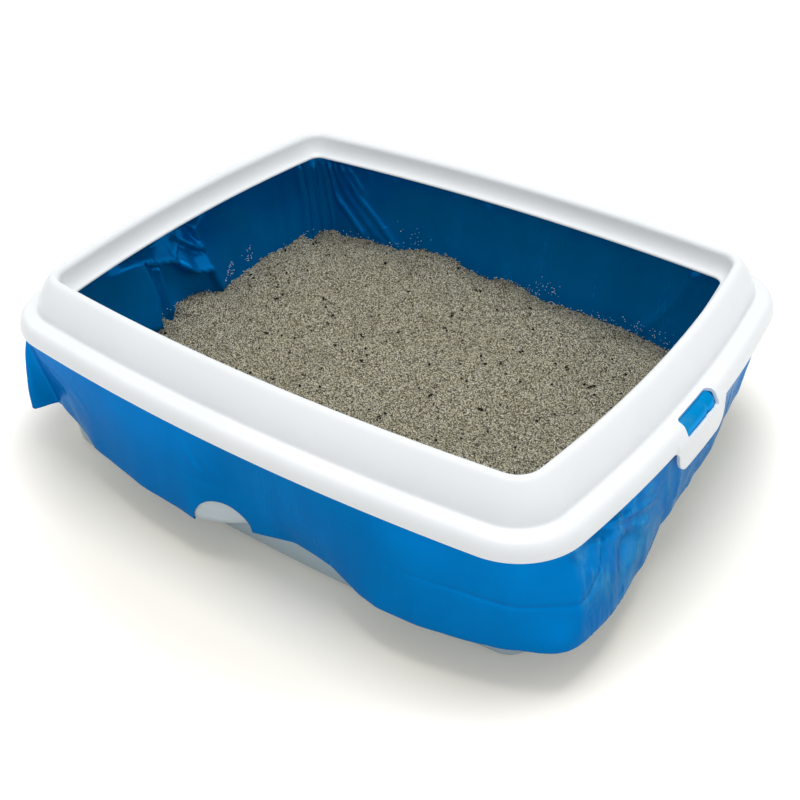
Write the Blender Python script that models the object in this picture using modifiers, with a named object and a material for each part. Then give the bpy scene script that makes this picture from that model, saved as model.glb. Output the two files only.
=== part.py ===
"""A litter pan with a clip-on rim frame, a film liner with drawtapes, and its fill of litter.

Metres, +Z up. The origin is on the floor under the middle of the pan. The long sides face
-Y (front) and +Y (back), and the two short ends face -X and +X.
"""

import math

import bmesh
import bpy

# Driving dimensions of the rim frame, seen from above
FRAME_HALF_LENGTH = 0.2413
FRAME_HALF_WIDTH = 0.1944
END_BOW = 0.0183
SIDE_BOW = 0.0166
FRAME_CORNER_RADIUS = 0.0504

# Section of the rim frame: insets run inwards from the lip's outer face, rises run up from its lower edge
FRAME_WALL = 0.0024
LIP_ROUND = 0.0064
LIP_HEIGHT = 0.0121
WALL_FOOT_INSET = 0.0154
WALL_FOOT_RISE = 0.0128
WALL_SHOULDER_INSET = 0.0166
WALL_SHOULDER_RISE = 0.0251
CREST_INSET = 0.0303
CREST_RADIUS = 0.0042
FRAME_HEIGHT = 0.0384
COVE_INSET = 0.0355
COVE_RISE = 0.0225
INNER_EDGE_INSET = 0.0407
INNER_EDGE_RISE = 0.0200

# Latch tab and slot in the middle of each end of the frame
TAB_HALF_WIDTH = 0.0345
TAB_DROP = 0.0192
TAB_CORNER_RADIUS = 0.0125
TAB_ROOT_RADIUS = 0.0060
TAB_PROUD = 0.0012
TAB_FLARE = math.radians(4.6)
SLOT_HALF_WIDTH = 0.0230
SLOT_INSET = 0.0100
SLOT_SILL_RISE = 0.0020
SLOT_CORNER_RADIUS = 0.0050
SLOT_OVERRUN = 0.0050

# Pan
PAN_HEIGHT = 0.1164
PAN_WALL = 0.0022
PAN_RIM_ROUND = 0.0050
PAN_RIM_DROP = 0.0105
WALL_TOP_INSET = 0.0150
BASE_INSET = 0.0280
BASE_BOW_SHARE = 0.7
BASE_CORNER_RADIUS = 0.0190
BASE_ROUND = 0.0060

# Film liner and its drawtapes
FILM = 0.0006
HEM_HEIGHT = 0.0360
TUNNEL_HEIGHT = 0.0280
TAPE = 0.0006
TAPE_WIDTH = 0.0220
TAPE_LIFT = 0.0030
TAPE_CLEARANCE = 0.0005
NOTCH_RADIUS = 0.0210
NOTCH_SHIFT = -0.0070

# Litter
LITTER_EDGE_HEIGHT = 0.0450
LITTER_CROWN = 0.0090

# Clearance between pieces that touch
GAP = 0.0003

# Inset of the hanging hem, at distances along the rim from the middle of the front, going towards +X.
# The film is blown out at the near corner, tucked in beside it, and pinched into a fin at the left corner.
# The distances are those on a rim HEM_SWAY_LENGTH long, and they stretch with the rim.
HEM_SWAY_LENGTH = 1.584
HEM_SWAY = (
    (-0.396, 0.008),
    (-0.250, 0.013),
    (-0.209, -0.006),
    (-0.175, 0.014),
    (-0.130, 0.004),
    (-0.070, -0.001),
    (-0.026, -0.004),
    (0.045, 0.0145),
    (0.080, 0.010),
    (0.125, -0.003),
    (0.176, 0.000),
    (0.205, 0.002),
    (0.248, -0.009),
    (0.280, -0.008),
    (0.331, 0.001),
    (0.380, 0.008),
    (0.470, 0.012),
    (0.580, 0.015),
    (0.720, 0.006),
    (0.864, 0.005),
    (1.004, 0.014),
)

# Steps along each quarter of the outline, and round small turns of a section
END_STEPS = 6
CORNER_STEPS = 6
SIDE_STEPS = 8
QUARTER = END_STEPS + CORNER_STEPS + SIDE_STEPS
ROUND_STEPS = 3
LIP_STEPS = 4
WALL_STEPS = 3
COVE_STEPS = 3

COLLECTION = "framed_litter_pan"


def clear_scene():
    for found in list(bpy.data.objects):
        bpy.data.objects.remove(found, do_unlink=True)


def new_collection(name, helpers=False):
    made = bpy.data.collections.new(name)
    bpy.context.scene.collection.children.link(made)
    made.hide_render = helpers
    return made


def material(name, colour, roughness, metallic=0.0):
    made = bpy.data.materials.new(name)
    made.use_nodes = True
    shader = made.node_tree.nodes["Principled BSDF"]
    shader.inputs["Base Color"].default_value = (*colour, 1.0)
    shader.inputs["Roughness"].default_value = roughness
    shader.inputs["Metallic"].default_value = metallic
    return made


def bowed_outline(half_length, half_width, end_bow, side_bow, corner_radius):
    """Points of a rounded rectangle with bowed sides, as (x, y, normal x, normal y), anticlockwise from +X.

    Each quarter is an end arc, a corner arc and a side arc, tangent to each other.
    """
    end_radius = (half_width**2 + end_bow**2) / (2 * end_bow)
    side_radius = (half_length**2 + side_bow**2) / (2 * side_bow)
    end_centre = half_length - end_radius
    side_centre = half_width - side_radius
    # The corner's centre lies inside both big arcs, a corner radius away from each.
    to_end = end_radius - corner_radius
    to_side = side_radius - corner_radius
    apart = math.hypot(end_centre, side_centre)
    along = (to_end**2 - to_side**2 + apart**2) / (2 * apart)
    across = math.sqrt(to_end**2 - along**2)
    ux, uy = -end_centre / apart, side_centre / apart
    centre_x = end_centre + along * ux - across * uy
    centre_y = along * uy + across * ux
    if centre_x + centre_y < 0:
        centre_x = end_centre + along * ux + across * uy
        centre_y = along * uy - across * ux
    first = math.atan2(centre_y, centre_x - end_centre)
    last = math.atan2(centre_y - side_centre, centre_x)

    arcs = (
        ((end_centre, 0.0), end_radius, 0.0, first, END_STEPS),
        ((centre_x, centre_y), corner_radius, first, last, CORNER_STEPS),
        ((0.0, side_centre), side_radius, last, math.pi / 2, SIDE_STEPS),
    )
    quarter = []
    for (cx, cy), radius, start, end, steps in arcs:
        for step in range(steps):
            angle = start + (end - start) * step / steps
            nx, ny = math.cos(angle), math.sin(angle)
            quarter.append((cx + radius * nx, cy + radius * ny, nx, ny))
    top = (0.0, half_width, 0.0, 1.0)
    points = quarter + [top]
    points += [(-x, y, -nx, ny) for x, y, nx, ny in reversed(quarter)]
    points += [(-x, -y, -nx, -ny) for x, y, nx, ny in quarter[1:]]
    points += [(0.0, -half_width, 0.0, -1.0)]
    points += [(x, -y, nx, -ny) for x, y, nx, ny in reversed(quarter[1:])]
    return points


RIM = bowed_outline(FRAME_HALF_LENGTH, FRAME_HALF_WIDTH, END_BOW, SIDE_BOW, FRAME_CORNER_RADIUS)
BASE = bowed_outline(
    FRAME_HALF_LENGTH - BASE_INSET,
    FRAME_HALF_WIDTH - BASE_INSET,
    END_BOW * BASE_BOW_SHARE,
    SIDE_BOW * BASE_BOW_SHARE,
    BASE_CORNER_RADIUS,
)
AROUND = len(RIM)
FRONT_MIDDLE = 3 * QUARTER

# Heights that follow from how the pieces stack
FILM_TOP = PAN_HEIGHT + GAP + FILM
FRAME_BOTTOM = FILM_TOP + GAP + FRAME_WALL - LIP_HEIGHT
PAN_RIM_INSET = FRAME_WALL + GAP + FILM + 2 * GAP
FILM_RIM_INSET = PAN_RIM_INSET - GAP
HEM_SPACE = TAPE + 2 * TAPE_CLEARANCE
TUNNEL_TOP = HEM_HEIGHT + TUNNEL_HEIGHT
SKIRT_TOP = min(FRAME_BOTTOM, PAN_HEIGHT - PAN_RIM_DROP) - 2 * GAP


def inset_ring(outline, inset, height):
    """One ring of points. The inset and the height are numbers, or lists with one value a point."""
    insets = inset if isinstance(inset, list) else [inset] * AROUND
    heights = height if isinstance(height, list) else [height] * AROUND
    return [
        (x - nx * d, y - ny * d, z) for (x, y, nx, ny), d, z in zip(outline, insets, heights)
    ]


def blend_rings(low, high, share):
    return [tuple(a + (b - a) * share for a, b in zip(p, q)) for p, q in zip(low, high)]


def distances_along_rim():
    """Distance of each rim point from the middle of the front, going towards +X, and the whole length."""
    found = [0.0] * AROUND
    total = 0.0
    for step in range(AROUND):
        here = RIM[(FRONT_MIDDLE + step) % AROUND]
        after = RIM[(FRONT_MIDDLE + step + 1) % AROUND]
        found[(FRONT_MIDDLE + step) % AROUND] = total
        total += math.hypot(after[0] - here[0], after[1] - here[1])
    return found, total


def smooth_value(keys, place, length):
    """The value at a place along a closed line, eased between the keys on each side of it."""
    start = keys[0][0]
    place = start + (place - start) % length
    wrapped = list(keys) + [(start + length, keys[0][1])]
    for (a, low), (b, high) in zip(wrapped, wrapped[1:]):
        if a <= place <= b:
            share = (place - a) / (b - a)
            return low + (high - low) * share * share * (3 - 2 * share)
    return keys[0][1]


def hem_insets():
    places, length = distances_along_rim()
    stretch = length / HEM_SWAY_LENGTH
    keys = [(place * stretch, inset) for place, inset in HEM_SWAY]
    return [smooth_value(keys, place, length) for place in places]


def mesh_object(name, mesh, collection, surface=None, smooth=True):
    made = bpy.data.objects.new(name, mesh)
    collection.objects.link(made)
    if surface:
        mesh.materials.append(surface)
    if smooth:
        mesh.shade_smooth()
        mesh.set_sharp_from_angle(angle=math.radians(35))
    return made


def loft(name, rings, closed_ends=(), wrap=False):
    """A mesh of quads through rings with as many points each. closed_ends holds 0, -1 or both."""
    bm = bmesh.new()
    rows = [[bm.verts.new(point) for point in ring] for ring in rings]
    count = len(rows[0])
    for lower, upper in zip(rows, rows[1:]):
        for i in range(count if wrap else count - 1):
            j = (i + 1) % count
            bm.faces.new((lower[i], lower[j], upper[j], upper[i]))
    for end in closed_ends:
        face = rows[end] if end else list(reversed(rows[end]))
        bm.faces.new(face)
    mesh = bpy.data.meshes.new(name)
    bm.to_mesh(mesh)
    bm.free()
    return mesh


def thicken(target, thickness, offset):
    shell = target.modifiers.new("thickness", "SOLIDIFY")
    shell.thickness = thickness
    shell.offset = offset
    shell.use_even_offset = True
    shell.use_quality_normals = True


def boolean(target, tool, operation):
    cut = target.modifiers.new(operation.lower(), "BOOLEAN")
    cut.operation = operation
    cut.solver = "EXACT"
    cut.object = tool


def flat_outline(name, points, thickness, collection):
    """A plate in the object's own XY plane, as a filled 2D curve made into a mesh."""
    curve = bpy.data.curves.new(name, "CURVE")
    curve.dimensions = "2D"
    curve.fill_mode = "BOTH"
    curve.extrude = thickness / 2
    line = curve.splines.new("POLY")
    line.points.add(len(points) - 1)
    for point, (x, y) in zip(line.points, points):
        point.co = (x, y, 0.0, 1.0)
    line.use_cyclic_u = True
    drawn = bpy.data.objects.new(name + "_outline", curve)
    collection.objects.link(drawn)
    bpy.context.view_layer.update()
    evaluated = drawn.evaluated_get(bpy.context.evaluated_depsgraph_get())
    mesh = bpy.data.meshes.new_from_object(evaluated)
    bpy.data.objects.remove(drawn, do_unlink=True)
    bm = bmesh.new()
    bm.from_mesh(mesh)
    bmesh.ops.remove_doubles(bm, verts=bm.verts, dist=0.00001)
    bmesh.ops.recalc_face_normals(bm, faces=bm.faces)
    bm.to_mesh(mesh)
    bm.free()
    return mesh


def helper(name, mesh, collection):
    made = mesh_object(name, mesh, collection, smooth=False)
    made.hide_render = True
    made.display_type = "WIRE"
    return made


def arc(centre_x, centre_y, radius, start, end, steps):
    """Points of an arc, its angles in degrees."""
    angles = [math.radians(start + (end - start) * step / steps) for step in range(steps + 1)]
    return [(centre_x + radius * math.cos(a), centre_y + radius * math.sin(a)) for a in angles]


def bend(start, control, end, steps):
    """Points inside a quadratic curve from start to end, without its two ends."""
    points = []
    for step in range(1, steps):
        t = step / steps
        weights = ((1 - t) ** 2, 2 * t * (1 - t), t**2)
        points.append(tuple(sum(w * v for w, v in zip(weights, axis)) for axis in zip(start, control, end)))
    return points


def frame_section():
    """The frame's section as (inset, rise) points: its outer line, and the line underneath it."""
    lip_angles = [math.pi / 2 * step / LIP_STEPS for step in range(LIP_STEPS + 1)]
    outer = [(LIP_ROUND * (1 - math.cos(a)), LIP_HEIGHT * math.sin(a)) for a in lip_angles]
    foot = (WALL_FOOT_INSET, WALL_FOOT_RISE)
    inner_edge = (INNER_EDGE_INSET, INNER_EDGE_RISE)
    crest = arc(CREST_INSET, FRAME_HEIGHT - CREST_RADIUS, CREST_RADIUS, 135, 0, 3)
    outer.append(foot)
    outer += bend(foot, (WALL_SHOULDER_INSET, WALL_SHOULDER_RISE), crest[0], WALL_STEPS)
    outer += crest
    outer += bend(crest[-1], (COVE_INSET, COVE_RISE), inner_edge, COVE_STEPS)
    outer.append(inner_edge)

    # The underside is the same line moved in by the wall, along its own normals.
    under = []
    for i, (inset, rise) in enumerate(outer):
        before = outer[max(i - 1, 0)]
        after = outer[min(i + 1, len(outer) - 1)]
        across, up = after[0] - before[0], after[1] - before[1]
        size = math.hypot(across, up)
        under.append((inset + FRAME_WALL * up / size, rise - FRAME_WALL * across / size))
    under[0] = (FRAME_WALL, 0.0)
    return outer, under


def frame_ring_mesh():
    outer, under = frame_section()
    section = outer + list(reversed(under))
    rings = [inset_ring(RIM, d, FRAME_BOTTOM + z) for d, z in section]
    rings.append(rings[0])
    mesh = loft("rim_frame", rings, wrap=True)
    bm = bmesh.new()
    bm.from_mesh(mesh)
    bmesh.ops.remove_doubles(bm, verts=bm.verts, dist=0.000001)
    bmesh.ops.recalc_face_normals(bm, faces=bm.faces)
    bm.to_mesh(mesh)
    bm.free()
    return mesh


def tab_mesh(helpers):
    """One latch tab, as a plate in its own XY plane: X along the frame's end, Y up from the lip's lower edge."""
    corner_x = TAB_HALF_WIDTH - TAB_CORNER_RADIUS
    corner_y = -TAB_DROP + TAB_CORNER_RADIUS
    root_x = TAB_HALF_WIDTH + TAB_ROOT_RADIUS
    half = arc(corner_x, corner_y, TAB_CORNER_RADIUS, -90, 0, 5)
    half += arc(root_x, -TAB_ROOT_RADIUS, TAB_ROOT_RADIUS, 180, 90, 3)
    half.append((root_x, SLOT_SILL_RISE))
    points = half + [(-x, y) for x, y in reversed(half)]
    return flat_outline("latch_tab", points, FRAME_WALL, helpers)


def slot_mesh(helpers):
    """One latch slot's cutter, seen from above: it takes away the lip from the slot's inset outwards."""
    far = SLOT_INSET + SLOT_OVERRUN
    corner = SLOT_CORNER_RADIUS
    inner_x = SLOT_HALF_WIDTH - corner
    half = arc(inner_x, -corner, corner, 90, 0, 4)
    half.append((SLOT_HALF_WIDTH, -far))
    points = half + [(-x, y) for x, y in reversed(half)]
    return flat_outline("latch_slot", points, LIP_HEIGHT * 2, helpers)


def build_frame(parts, helpers):
    white = material("white_plastic", (0.80, 0.81, 0.81), 0.38)
    frame = mesh_object("rim_frame", frame_ring_mesh(), parts, white)
    tab = tab_mesh(helpers)
    slot = slot_mesh(helpers)
    tab_middle = FRAME_HALF_LENGTH + TAB_PROUD - FRAME_WALL / 2
    slot_inner = FRAME_HALF_LENGTH - SLOT_INSET
    for name, side in (("right", 1), ("left", -1)):
        plate = helper("tab_" + name, tab, helpers)
        plate.location = (side * tab_middle, 0.0, FRAME_BOTTOM)
        plate.rotation_euler = (math.pi / 2 - TAB_FLARE, 0.0, side * math.pi / 2)
        boolean(frame, plate, "UNION")
    for name, side in (("right", 1), ("left", -1)):
        cutter = helper("slot_" + name, slot, helpers)
        cutter.location = (side * slot_inner, 0.0, FRAME_BOTTOM + SLOT_SILL_RISE + LIP_HEIGHT)
        cutter.rotation_euler = (0.0, 0.0, side * math.pi / 2)
        boolean(frame, cutter, "DIFFERENCE")
    return frame


def pan_wall_rings(clearance, floor, top):
    """Rings of a tray shape standing this far inside the pan's outer face: floor edge, rounded foot and wall top."""
    rings = []
    turn = max(BASE_ROUND - clearance, 0.001)
    for step in range(ROUND_STEPS):
        angle = math.pi / 2 * step / (ROUND_STEPS - 1)
        inset = clearance + turn * (1 - math.sin(angle))
        rings.append(inset_ring(BASE, inset, floor + turn * (1 - math.cos(angle))))
    rings.append(inset_ring(RIM, WALL_TOP_INSET + clearance, top))
    return rings


def build_pan(parts):
    """The outer face and the underside of the flange, thickened inwards and upwards."""
    grey = material("grey_plastic", (0.34, 0.39, 0.42), 0.42)
    under = PAN_HEIGHT - PAN_WALL
    rings = pan_wall_rings(0.0, 0.0, under - PAN_RIM_ROUND)
    rings.append(inset_ring(RIM, WALL_TOP_INSET - 0.4 * PAN_WALL, under))
    inner_turn = PAN_RIM_ROUND - PAN_WALL
    edge = PAN_RIM_INSET + PAN_WALL
    for step in range(ROUND_STEPS):
        angle = math.pi / 2 * step / (ROUND_STEPS - 1)
        inset = edge + inner_turn * (1 - math.sin(angle))
        rings.append(inset_ring(RIM, inset, under - inner_turn * (1 - math.cos(angle))))
    rings.append(inset_ring(RIM, edge, PAN_HEIGHT - PAN_RIM_DROP))
    mesh = loft("pan", rings, closed_ends=(0,), wrap=True)
    pan = mesh_object("pan", mesh, parts, grey)
    thicken(pan, PAN_WALL, -1.0)
    return pan


def skirt_ring(insets, height, away=0.0):
    """A ring of the hanging skirt. The film leans from the pan's rim to the hem, which hangs straight."""
    share = min(1.0, (SKIRT_TOP - height) / (SKIRT_TOP - TUNNEL_TOP))
    at_rim = FILM_RIM_INSET
    return inset_ring(RIM, [at_rim + (hem - at_rim) * share + away for hem in insets], height)


def liner_rings(insets):
    """The liner's side that faces the pan, from the floor over the rim and down to the folded hem."""
    inside = PAN_WALL + 2 * GAP
    rings = pan_wall_rings(inside, PAN_WALL + GAP, PAN_HEIGHT - PAN_RIM_ROUND)
    crown = PAN_HEIGHT + GAP
    turn = PAN_RIM_ROUND + GAP
    rings.append(inset_ring(RIM, WALL_TOP_INSET + PAN_WALL, crown))
    for step in range(ROUND_STEPS):
        angle = math.pi / 2 * step / (ROUND_STEPS - 1)
        inset = FILM_RIM_INSET + turn * (1 - math.sin(angle))
        rings.append(inset_ring(RIM, inset, crown - turn * (1 - math.cos(angle))))
    rings.append(skirt_ring(insets, SKIRT_TOP))
    rings.append(skirt_ring(insets, (SKIRT_TOP + TUNNEL_TOP) / 2))
    rings.append(skirt_ring(insets, TUNNEL_TOP))
    rings.append(skirt_ring(insets, HEM_HEIGHT))
    rings.append(skirt_ring(insets, HEM_HEIGHT, HEM_SPACE))
    rings.append(skirt_ring(insets, TUNNEL_TOP, HEM_SPACE))
    return rings


def notch_cutter(name, side, helpers):
    """A round bar across the skirt at the middle of a long side, clear of the pan behind it."""
    reach = 2 * WALL_TOP_INSET
    bm = bmesh.new()
    bmesh.ops.create_cone(
        bm,
        cap_ends=True,
        segments=32,
        radius1=NOTCH_RADIUS,
        radius2=NOTCH_RADIUS,
        depth=reach,
    )
    mesh = bpy.data.meshes.new(name)
    bm.to_mesh(mesh)
    bm.free()
    cutter = helper(name, mesh, helpers)
    middle = FRAME_HALF_WIDTH - WALL_TOP_INSET - PAN_WALL + reach / 2
    cutter.location = (-side * NOTCH_SHIFT, side * middle, HEM_HEIGHT)
    cutter.rotation_euler = (math.pi / 2, 0.0, 0.0)
    return cutter


def build_liner(parts, helpers, insets):
    blue = material("blue_film", (0.0, 0.17, 0.42), 0.30)
    mesh = loft("liner", liner_rings(insets), closed_ends=(0,), wrap=True)
    mesh.flip_normals()
    liner = mesh_object("liner", mesh, parts, blue)
    thicken(liner, FILM, 1.0)
    for name, side in (("notch_front", -1), ("notch_back", 1)):
        boolean(liner, notch_cutter(name, side, helpers), "DIFFERENCE")
    return liner


def build_tapes(parts, insets):
    """Two flat tapes in the hem's tunnel, each from one side seam to the other."""
    white = material("white_tape", (0.62, 0.66, 0.68), 0.35)
    low = skirt_ring(insets, HEM_HEIGHT + TAPE_LIFT, TAPE_CLEARANCE)
    high = skirt_ring(insets, HEM_HEIGHT + TAPE_LIFT + TAPE_WIDTH, TAPE_CLEARANCE)
    half_round = AROUND // 2
    left_corner = 2 * QUARTER + END_STEPS + CORNER_STEPS // 2
    starts = (("drawtape_front", left_corner), ("drawtape_back", left_corner - half_round))
    for name, start in starts:
        # Each end stops one step short of its seam's corner point.
        span = [(start + step) % AROUND for step in range(1, half_round)]
        mesh = loft(name, [[low[i] for i in span], [high[i] for i in span]])
        tape = mesh_object(name, mesh, parts, white)
        thicken(tape, TAPE, -1.0)


def build_litter(parts):
    """The fill: it follows the lined tray with a gap, and its top is a low crown."""
    sand = material("litter", (0.30, 0.29, 0.22), 0.95)
    clearance = PAN_WALL + 2 * GAP + FILM + 2 * GAP
    floor = PAN_WALL + GAP + FILM + GAP
    tray = pan_wall_rings(clearance, floor, PAN_HEIGHT - PAN_RIM_ROUND)
    foot = tray[ROUND_STEPS - 1]
    foot_height = foot[0][2]
    wall_top = PAN_HEIGHT - PAN_RIM_ROUND
    share = (LITTER_EDGE_HEIGHT - foot_height) / (wall_top - foot_height)
    edge = blend_rings(foot, tray[-1], share)
    rings = tray[:ROUND_STEPS] + [edge]
    for inwards in (0.12, 0.3, 0.55, 0.8):
        rise = LITTER_CROWN * math.sin(math.pi / 2 * inwards) ** 1.2
        rings.append([(x * (1 - inwards), y * (1 - inwards), z + rise) for x, y, z in edge])
    mesh = loft("litter", rings, closed_ends=(0, -1), wrap=True)
    return mesh_object("litter", mesh, parts, sand)


def main():
    clear_scene()
    parts = new_collection(COLLECTION)
    helpers = new_collection("cutters", helpers=True)
    insets = hem_insets()
    build_pan(parts)
    build_liner(parts, helpers, insets)
    build_tapes(parts, insets)
    build_frame(parts, helpers)
    build_litter(parts)


main()
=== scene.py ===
"""Looks of the framed, lined and filled litter pan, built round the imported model.

Metres, +Z up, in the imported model's own frame. Places along the rim are distances in millimetres from
the middle of the front, positive towards +X: the near corner is at about 213, the right end's middle
at 396, the far right corner at 579, the back at 792, the left end's middle at -396 and the left
corner at -210. Insets are millimetres inwards from the lip's outer face.
"""

import math

import bmesh
import bpy
import numpy as np
from mathutils import Matrix, Vector, noise


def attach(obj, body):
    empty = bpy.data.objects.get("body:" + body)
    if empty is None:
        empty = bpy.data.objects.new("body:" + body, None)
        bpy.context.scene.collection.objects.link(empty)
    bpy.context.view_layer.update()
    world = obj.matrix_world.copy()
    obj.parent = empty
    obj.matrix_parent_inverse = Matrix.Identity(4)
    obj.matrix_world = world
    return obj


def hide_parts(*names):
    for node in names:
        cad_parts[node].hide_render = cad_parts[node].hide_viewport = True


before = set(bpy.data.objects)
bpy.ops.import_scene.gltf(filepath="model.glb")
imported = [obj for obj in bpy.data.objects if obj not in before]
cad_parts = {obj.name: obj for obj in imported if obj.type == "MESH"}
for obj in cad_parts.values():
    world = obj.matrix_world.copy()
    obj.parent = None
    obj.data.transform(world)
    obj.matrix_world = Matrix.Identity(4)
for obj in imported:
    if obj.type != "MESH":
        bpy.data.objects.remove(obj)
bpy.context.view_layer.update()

MM = 0.001

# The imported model's driving sizes, in millimetres
HALF_LENGTH, HALF_WIDTH = 241.3, 194.4
END_BOW, SIDE_BOW, CORNER_RADIUS = 18.3, 16.6, 50.4
LIP_ROUND, LIP_HEIGHT, FRAME_WALL = 6.4, 12.1, 2.4
FRAME_BOTTOM = 107.9
PAN_HEIGHT, PAN_WALL, PAN_RIM_ROUND, PAN_RIM_DROP = 116.4, 2.2, 5.0, 10.5
WALL_TOP_INSET, BASE_INSET, BASE_ROUND = 15.0, 28.0, 6.0
BASE_BOW_SHARE, BASE_CORNER_RADIUS = 0.7, 19.0
PAN_RIM_INSET = 3.9
HEM_HEIGHT, TUNNEL_TOP = 36.0, 64.0
NOTCH_RADIUS, NOTCH_PLACE = 21.0, -7.0

# Steps of the outline: all, in a quarter, in its end and corner arcs, and the front middle's
STEPS, QUARTER_STEPS, END_STEPS, CORNER_STEPS, FRONT_STEP = 80, 20, 6, 6, 60


# ---- outline

def quarter_arcs(a, b, bow_x, bow_y, radius):
    """Centres, radii and angles of a quarter's end arc, corner arc and side arc."""
    end_radius = (b * b + bow_x * bow_x) / (2 * bow_x)
    side_radius = (a * a + bow_y * bow_y) / (2 * bow_y)
    end_centre, side_centre = a - end_radius, b - side_radius
    to_end, to_side = end_radius - radius, side_radius - radius
    apart = math.hypot(end_centre, side_centre)
    along = (to_end**2 - to_side**2 + apart**2) / (2 * apart)
    across = math.sqrt(to_end**2 - along**2)
    ux, uy = -end_centre / apart, side_centre / apart
    cx = end_centre + along * ux - across * uy
    cy = along * uy + across * ux
    if cx + cy < 0:
        cx = end_centre + along * ux + across * uy
        cy = along * uy - across * ux
    first = math.atan2(cy, cx - end_centre)
    last = math.atan2(cy - side_centre, cx)
    return (
        ((end_centre, 0.0), end_radius, 0.0, first),
        ((cx, cy), radius, first, last),
        ((0.0, side_centre), side_radius, last, math.pi / 2),
    )


class Outline:
    """The bowed rounded rectangle. A step runs anticlockwise from +X, 80 to the round."""

    def __init__(self, inset=0.0, bow_share=1.0, radius=CORNER_RADIUS):
        bows = END_BOW * bow_share, SIDE_BOW * bow_share
        self.arcs = quarter_arcs(HALF_LENGTH - inset, HALF_WIDTH - inset, *bows, radius)

    def at(self, step):
        """Points and outward normals, as two arrays of pairs."""
        step = np.asarray(step, float) % STEPS
        quarter = np.floor(step / QUARTER_STEPS)
        w = step - QUARTER_STEPS * quarter
        w = np.where(quarter % 2 == 1, QUARTER_STEPS - w, w)
        share = (
            w / END_STEPS,
            (w - END_STEPS) / CORNER_STEPS,
            (w - END_STEPS - CORNER_STEPS) / (QUARTER_STEPS - END_STEPS - CORNER_STEPS),
        )
        which = (w > END_STEPS).astype(int) + (w > END_STEPS + CORNER_STEPS)
        x, y, nx, ny = (np.zeros_like(w) for _ in range(4))
        for i, ((cx, cy), radius, first, last) in enumerate(self.arcs):
            angle = first + (last - first) * share[i]
            here = which == i
            x = np.where(here, cx + radius * np.cos(angle), x)
            y = np.where(here, cy + radius * np.sin(angle), y)
            nx = np.where(here, np.cos(angle), nx)
            ny = np.where(here, np.sin(angle), ny)
        flip_x = np.where((quarter == 1) | (quarter == 2), -1.0, 1.0)
        flip_y = np.where(quarter >= 2, -1.0, 1.0)
        points = np.stack([x * flip_x, y * flip_y], -1)
        normals = np.stack([nx * flip_x, ny * flip_y], -1)
        return points, normals


RIM = Outline()
BASE = Outline(BASE_INSET, BASE_BOW_SHARE, BASE_CORNER_RADIUS)
_dense = np.linspace(FRONT_STEP, FRONT_STEP + STEPS, 8001)


def run_along(line):
    """Distance from the first point of a line to each of its points."""
    return np.concatenate([[0.0], np.cumsum(np.linalg.norm(np.diff(line, axis=0), axis=1))])


_run = run_along(RIM.at(_dense)[0])
ROUND = float(_run[-1])
HALF_ROUND, END_PLACE = ROUND / 2, ROUND / 4
NOTCHES = (NOTCH_PLACE, HALF_ROUND + NOTCH_PLACE)


def steps_at(place):
    """Outline steps at distances along the rim."""
    return np.interp(np.asarray(place, float) % ROUND, _run, _dense)


def spaced_places(spacings, base):
    """Distances round the whole rim, closer together in each (middle, reach, spacing) zone."""
    grid = np.linspace(-HALF_ROUND, HALF_ROUND, 16001)
    gap = np.full_like(grid, base)
    for middle, reach, spacing in spacings:
        edge = np.clip((np.abs(wrapped(grid, middle)) - reach) / 12.0, 0, 1)
        gap = np.minimum(gap, spacing + (base - spacing) * edge)
    run = np.concatenate([[0.0], np.cumsum(np.diff(grid) * 2 / (gap[1:] + gap[:-1]))])
    count = int(round(run[-1]))
    return np.interp(np.arange(count) * run[-1] / count, run, grid)


def wrapped(place, middle):
    """Signed distance of places from a middle, the short way round."""
    return (np.asarray(place) - middle + HALF_ROUND) % ROUND - HALF_ROUND


def from_end(place):
    """Signed distance of places from the nearer end's middle."""
    right, left = wrapped(place, END_PLACE), wrapped(place, -END_PLACE)
    return np.where(np.abs(right) < np.abs(left), right, left)


def bell(x):
    """One at zero, falling off to either side."""
    return np.exp(-(x**2))


def smooth(t):
    """From 0 to 1 with level ends."""
    t = np.clip(t, 0.0, 1.0)
    return t * t * (3 - 2 * t)


def keyed(keys, place):
    """A smooth closed curve through (place, value) keys, evaluated at places."""
    keys = sorted((k % ROUND, v) for k, v in keys)
    x, y = np.array(keys, float).T
    x = np.concatenate([x[-2:] - ROUND, x, x[:2] + ROUND])
    y = np.concatenate([y[-2:], y, y[:2]])
    slope = np.zeros_like(y)
    for i in range(1, len(x) - 1):
        left = (y[i] - y[i - 1]) / (x[i] - x[i - 1])
        right = (y[i + 1] - y[i]) / (x[i + 1] - x[i])
        slope[i] = 0.0 if left * right <= 0 else 2 * left * right / (left + right)
    p = np.asarray(place, float) % ROUND
    i = np.clip(np.searchsorted(x, p) - 1, 0, len(x) - 2)
    h = x[i + 1] - x[i]
    t = (p - x[i]) / h
    return (
        y[i] * (1 + 2 * t) * (1 - t) ** 2
        + slope[i] * h * t * (1 - t) ** 2
        + y[i + 1] * t * t * (3 - 2 * t)
        + slope[i + 1] * h * t * t * (t - 1)
    )


def ring(outline, step, inset, height):
    """Points of a ring in millimetres, as an array of triples."""
    points, normals = outline.at(step)
    inset = np.broadcast_to(np.asarray(inset, float), step.shape)
    height = np.broadcast_to(np.asarray(height, float), step.shape)
    flat = points - normals * inset[:, None]
    return np.concatenate([flat, height[:, None]], 1)


def wall_ring(step, clearance, height):
    """A ring on the tray's wall, this far inside the pan's outer face."""
    top = PAN_HEIGHT - PAN_RIM_ROUND
    share = (np.asarray(height, float) - BASE_ROUND) / (top - BASE_ROUND)
    low = ring(BASE, step, clearance, 0.0)
    high = ring(RIM, step, WALL_TOP_INSET + clearance, 0.0)
    share = np.broadcast_to(share, step.shape)[:, None]
    mixed = low + (high - low) * share
    mixed[:, 2] = height
    return mixed


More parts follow.
